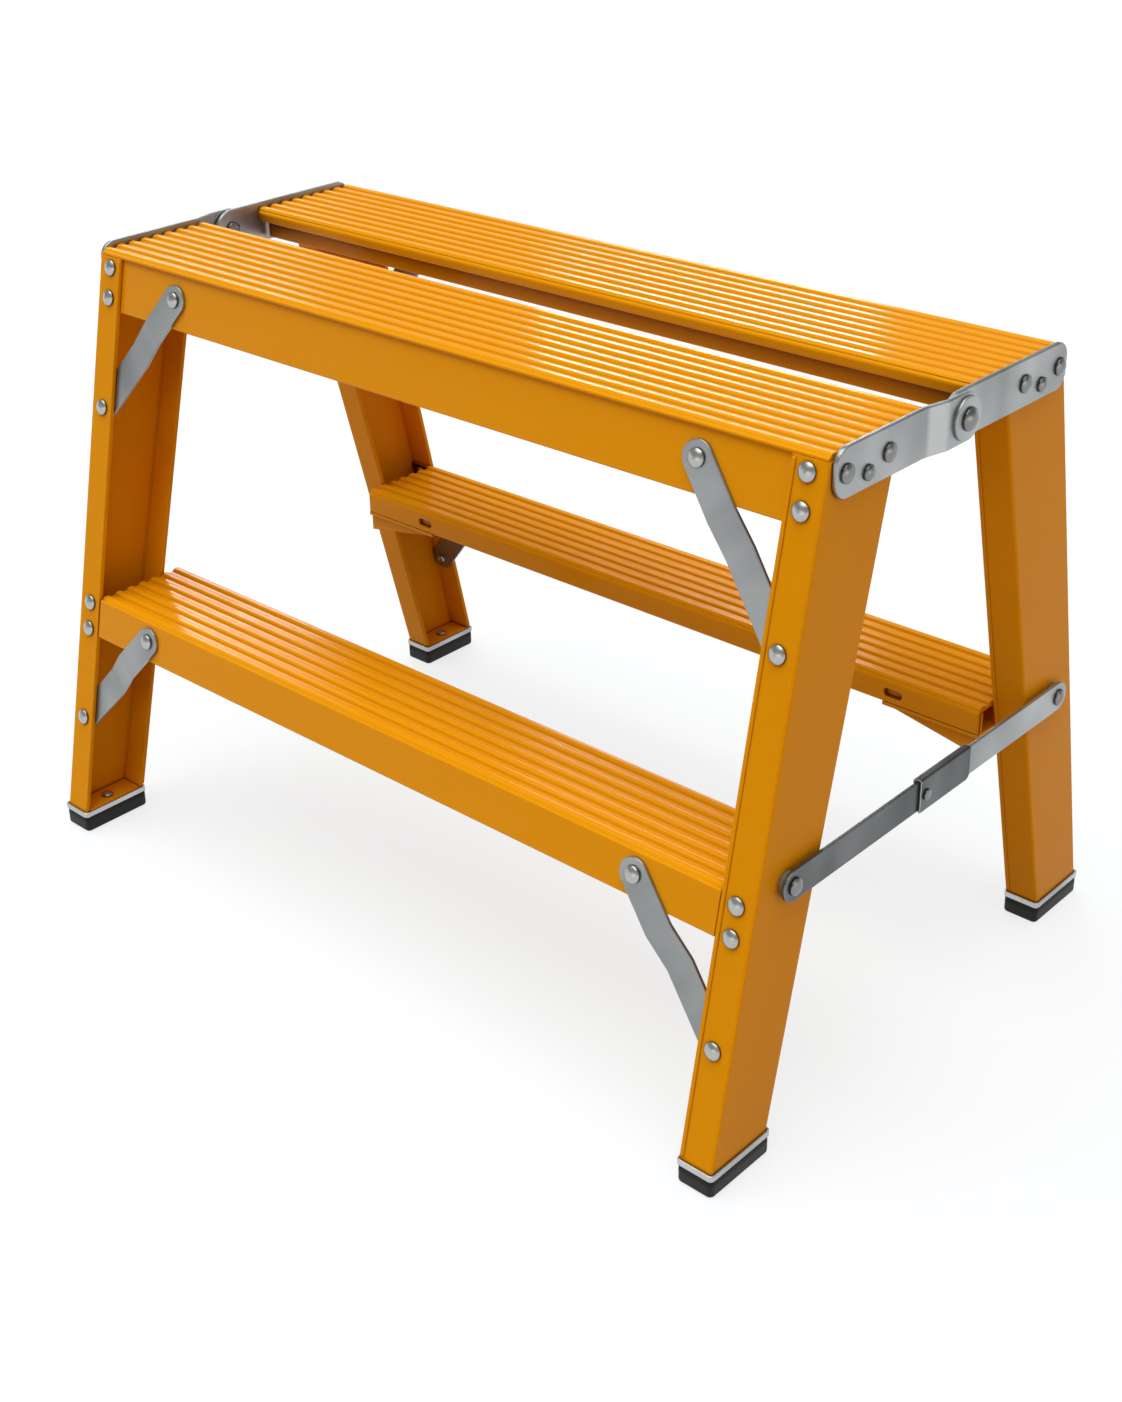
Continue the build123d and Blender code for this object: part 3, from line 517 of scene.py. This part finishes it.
def pad_block(shape, low, high):
    """The pad's outside: a block with rounded corners and edges, and a parting line round its sides."""
    middle = (low + high) / 2
    full = high - low
    body = full - Vector((2 * PARTING_LINE, 2 * PARTING_LINE, 0))
    place = Matrix.Translation(middle) @ Matrix.Diagonal(body).to_4x4()
    bmesh.ops.create_cube(shape, size=1, matrix=place)
    upright = [edge for edge in shape.edges if abs(edge.verts[0].co.z - edge.verts[1].co.z) > FLAT]
    soften(shape, upright, PAD_CORNER, CORNER_STEPS)
    soften(shape, edges_at(shape, low.z), SOLE_EDGE, SOLE_EDGE_STEPS)
    soften(shape, edges_at(shape, high.z), TOP_EDGE, TOP_EDGE_STEPS)
    for rise in (-PARTING_HALF, PARTING_HALF, 0):
        line = bmesh.ops.bisect_plane(
            shape,
            geom=shape.verts[:] + shape.edges[:] + shape.faces[:],
            dist=FLAT,
            plane_co=(0, 0, middle.z + PARTING_RISE + rise),
            plane_no=(0, 0, 1),
        )["geom_cut"]
    bmesh.ops.scale(
        shape,
        vec=(full.x / body.x, full.y / body.y, 1),
        space=Matrix.Translation(-middle),
        verts=vertices_in(line),
    )


def grooved(shape, sole, screw):
    """Presses grooves into the sole, each a ring round the screw, and returns the flat inside them."""
    size = 1.0
    for outer, inner in GROOVES:
        steps = (
            (outer, 0),
            (outer - GROOVE_FLANK, GROOVE_DEPTH),
            (inner + GROOVE_FLANK, 0),
            (inner, -GROOVE_DEPTH),
        )
        for share, rise in steps:
            sole = bmesh.ops.extrude_discrete_faces(shape, faces=[sole])["faces"][0]
            ratio = share / size
            space = Matrix.Translation(-screw)
            bmesh.ops.scale(shape, vec=(ratio, ratio, 1), space=space, verts=sole.verts)
            bmesh.ops.translate(shape, vec=(0, 0, rise), verts=sole.verts)
            size = share
    return sole


def recessed(shape, sole, screw):
    """Sinks a round recess for the screw's tail into the sole."""
    mouth = list(sole.edges)
    bmesh.ops.delete(shape, geom=[sole], context="FACES_ONLY")
    place = Matrix.Translation(screw)
    made = bmesh.ops.create_circle(shape, segments=len(mouth), radius=RECESS_RADIUS, matrix=place)
    rim = list(dict.fromkeys(edge for vert in made["verts"] for edge in vert.link_edges))
    bmesh.ops.bridge_loops(shape, edges=mouth + rim)
    wall = bmesh.ops.extrude_edge_only(shape, edges=rim)["geom"]
    bmesh.ops.translate(shape, vec=(0, 0, RECESS_DEPTH), verts=vertices_in(wall))
    bmesh.ops.edgeloop_fill(shape, edges=edges_at(shape, screw.z + RECESS_DEPTH))


def rubber_pad(name, screw_x, screw_y):
    """A moulded pad in the place of a CAD one."""
    low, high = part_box(name)
    screw = Vector((screw_x, screw_y, low.z))
    shape = bmesh.new()
    pad_block(shape, low, high)
    sole = min(shape.faces, key=lambda face: face.calc_center_median().z)
    recessed(shape, grooved(shape, sole, screw), screw)
    bmesh.ops.recalc_face_normals(shape, faces=shape.faces)
    for face in shape.faces:
        face.smooth = len(face.verts) == 4
    mesh = bpy.data.meshes.new(name + "_rubber")
    shape.to_mesh(mesh)
    shape.free()
    mesh.materials.append(foot_rubber)
    pad = bpy.data.objects.new(name + "_rubber", mesh)
    bpy.context.scene.collection.objects.link(pad)
    return pad


shoe_steel = galvanised_steel("shoe_steel", CROSSWAYS, SHOE_GREY)
foot_rubber = rubber("foot_rubber")
for which in FRAMES:
    screws_low, screws_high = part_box(f"{which}_foot_screws")
    screw_y = (screws_low.y + screws_high.y) / 2
    for end in ENDS:
        paint([f"{which}_{end}_foot_shoe"], shoe_steel)
        name = f"{which}_{end}_foot_pad"
        side = 1 if end == "right" else -1
        pad = rubber_pad(name, side * (screws_high.x - SCREW_HEAD / 2), screw_y)
        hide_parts(name)
        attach(pad, f"{which}_frame")

# Floor: a wide, pale and matt studio floor that the ladder stands on, with its edge out of sight.
# It is white to the camera and in the gloss, and keeps part of the ladder's shadow.
FLOOR_RADIUS = 40.0
FLOOR_SIDES = 64
WHITE = (1, 1, 1, 1)
SHADOW_SHARE = 0.26
SEEN_TONE = (0.84, 0.9, 1.0, 1)
BOUNCE_TONE = (0.42, 0.34, 0.26, 1)


def looked_at(tree):
    """One for rays from the camera or off gloss, and nought for the light that falls on a surface."""
    path = tree.nodes.new("ShaderNodeLightPath").outputs
    seen = path["Is Camera Ray"]
    for kind in ("Is Glossy Ray", "Is Transmission Ray"):
        seen = worked_out(tree, "ADD", seen, path[kind], use_clamp=True)
    return seen


bpy.ops.mesh.primitive_circle_add(vertices=FLOOR_SIDES, radius=FLOOR_RADIUS, fill_type="NGON")
floor = bpy.context.object
floor.name = "floor"
floor_finish, tree, shader = start_finish("floor_white")
shader.inputs["Roughness"].default_value = 1.0
shader.inputs["Specular IOR Level"].default_value = 0.0
seen = looked_at(tree)
tree.links.new(blended(tree, seen, BOUNCE_TONE, SEEN_TONE), shader.inputs["Base Color"])
plain = wire(tree, "ShaderNodeEmission", {"Color": WHITE, "Strength": 1.0})
share = worked_out(tree, "MULTIPLY", seen, 1 - SHADOW_SHARE)
mixed = wire(tree, "ShaderNodeMixShader", {0: share, 1: shader.outputs[0], 2: plain})
tree.links.new(mixed, tree.nodes["Material Output"].inputs["Surface"])
floor.data.materials.append(floor_finish)

# Light: white walls show to the camera and in the gloss, under a darker ceiling and a broad soft light.
# Warm fills stand in front and on the right. Three boxes behind and on the left draw lines on the ribs.
HORIZON_LEVEL = 0.18
ZENITH_LEVEL = 0.45
ZENITH_START = 0.7
WALL_TOP = 0.1
CEILING_START = 0.2
CEILING_LEVEL = 0.28
OVERHEAD_TONE = (0.97, 1.03, 0.86)
OVERHEAD_SPREAD = radians(60)
FILL_TONE = (1, 0.74, 0.5)
FILL_WIDTH = 1.2
FILL_HEIGHT = 0.8

world = bpy.data.worlds.new("studio")
bpy.context.scene.world = world
world.use_nodes = True
sky = world.node_tree
direction = sky.nodes.new("ShaderNodeTexCoord").outputs["Generated"]
rise = one_axis(sky, direction, "Z")
lit = ramp(sky, rise, 0.0, ZENITH_START, HORIZON_LEVEL, ZENITH_LEVEL, course="SMOOTHSTEP")
shown = ramp(sky, rise, WALL_TOP, CEILING_START, 1.0, CEILING_LEVEL, course="SMOOTHSTEP")
level = wire(sky, "ShaderNodeMix", {0: looked_at(sky), 2: lit, 3: shown})
sky.links.new(level, sky.nodes["Background"].inputs["Strength"])
sky.nodes["Background"].inputs["Color"].default_value = WHITE


def lamp(name, kind, place, aim, strength, **settings):
    """A lamp at a place, turned to its aim."""
    data = bpy.data.lights.new(name, kind)
    data.energy = strength
    for key, value in settings.items():
        setattr(data, key, value)
    made = bpy.data.objects.new(name, data)
    bpy.context.scene.collection.objects.link(made)
    made.location = place
    made.rotation_euler = (Vector(aim) - Vector(place)).to_track_quat("-Z", "Y").to_euler()


def light_box(name, place, aim, strength, width, height, **settings):
    """A soft rectangular lamp."""
    lamp(name, "AREA", place, aim, strength, shape="RECTANGLE", size=width, size_y=height, **settings)


lamp(
    "overhead",
    "SUN",
    place=(-0.2, -0.35, 2.0),
    aim=(0, 0, 0),
    strength=2.65,
    angle=OVERHEAD_SPREAD,
    color=OVERHEAD_TONE,
)
light_box(
    "front_fill",
    place=(0.4, -2.7, 0.6),
    aim=(0, 0, 0.3),
    strength=3.5,
    width=FILL_WIDTH,
    height=FILL_HEIGHT,
    color=FILL_TONE,
)
light_box(
    "back_box",
    place=(-0.78, 1.2, 1.0),
    aim=(0.15, 0, 0.5),
    strength=3,
    width=0.5,
    height=0.1,
)
light_box(
    "back_strip",
    place=(-2.0, 1.6, 1.16),
    aim=(-0.2, 0, 0.5),
    strength=0.45,
    width=1.5,
    height=0.05,
)
light_box(
    "left_box",
    place=(-2.53, 1.41, 1.5),
    aim=(-0.3, -0.15, 0.2),
    strength=5,
    width=0.7,
    height=0.2,
)
light_box(
    "right_fill",
    place=(2.6, 0.1, 0.6),
    aim=(0.36, 0, 0.3),
    strength=4.5,
    width=FILL_WIDTH,
    height=FILL_HEIGHT,
    color=FILL_TONE,
)

# Camera: the photograph's viewpoint, found by fitting the ladder's corners to the picture.
# Its lens is shifted, because the ladder stands a little off the middle of the picture.
AZIMUTH = radians(43.143)
ELEVATION = radians(25.471)
ROLL = radians(-1.334)
DISTANCE = 1.5917
TARGET = Vector((0, 0, 0.2475))
FOCAL_LENGTH = 51.07
SENSOR_WIDTH = 36
SHIFT_ACROSS = 0.01025
SHIFT_UP = -0.07728

back = Vector((sin(AZIMUTH) * cos(ELEVATION), -cos(AZIMUTH) * cos(ELEVATION), sin(ELEVATION)))
level_right = Vector((cos(AZIMUTH), sin(AZIMUTH), 0))
upright = back.cross(level_right)
right = level_right * cos(ROLL) + upright * sin(ROLL)
up = upright * cos(ROLL) - level_right * sin(ROLL)
lens = bpy.data.cameras.new("camera")
lens.lens = FOCAL_LENGTH
lens.sensor_width = SENSOR_WIDTH
lens.shift_x = SHIFT_ACROSS
lens.shift_y = SHIFT_UP
camera = bpy.data.objects.new("camera", lens)
bpy.context.scene.collection.objects.link(camera)
turn = Matrix((right, up, back)).transposed().to_4x4()
camera.matrix_world = Matrix.Translation(TARGET + back * DISTANCE) @ turn
bpy.context.scene.camera = camera
bpy.context.scene.view_settings.view_transform = "Standard"
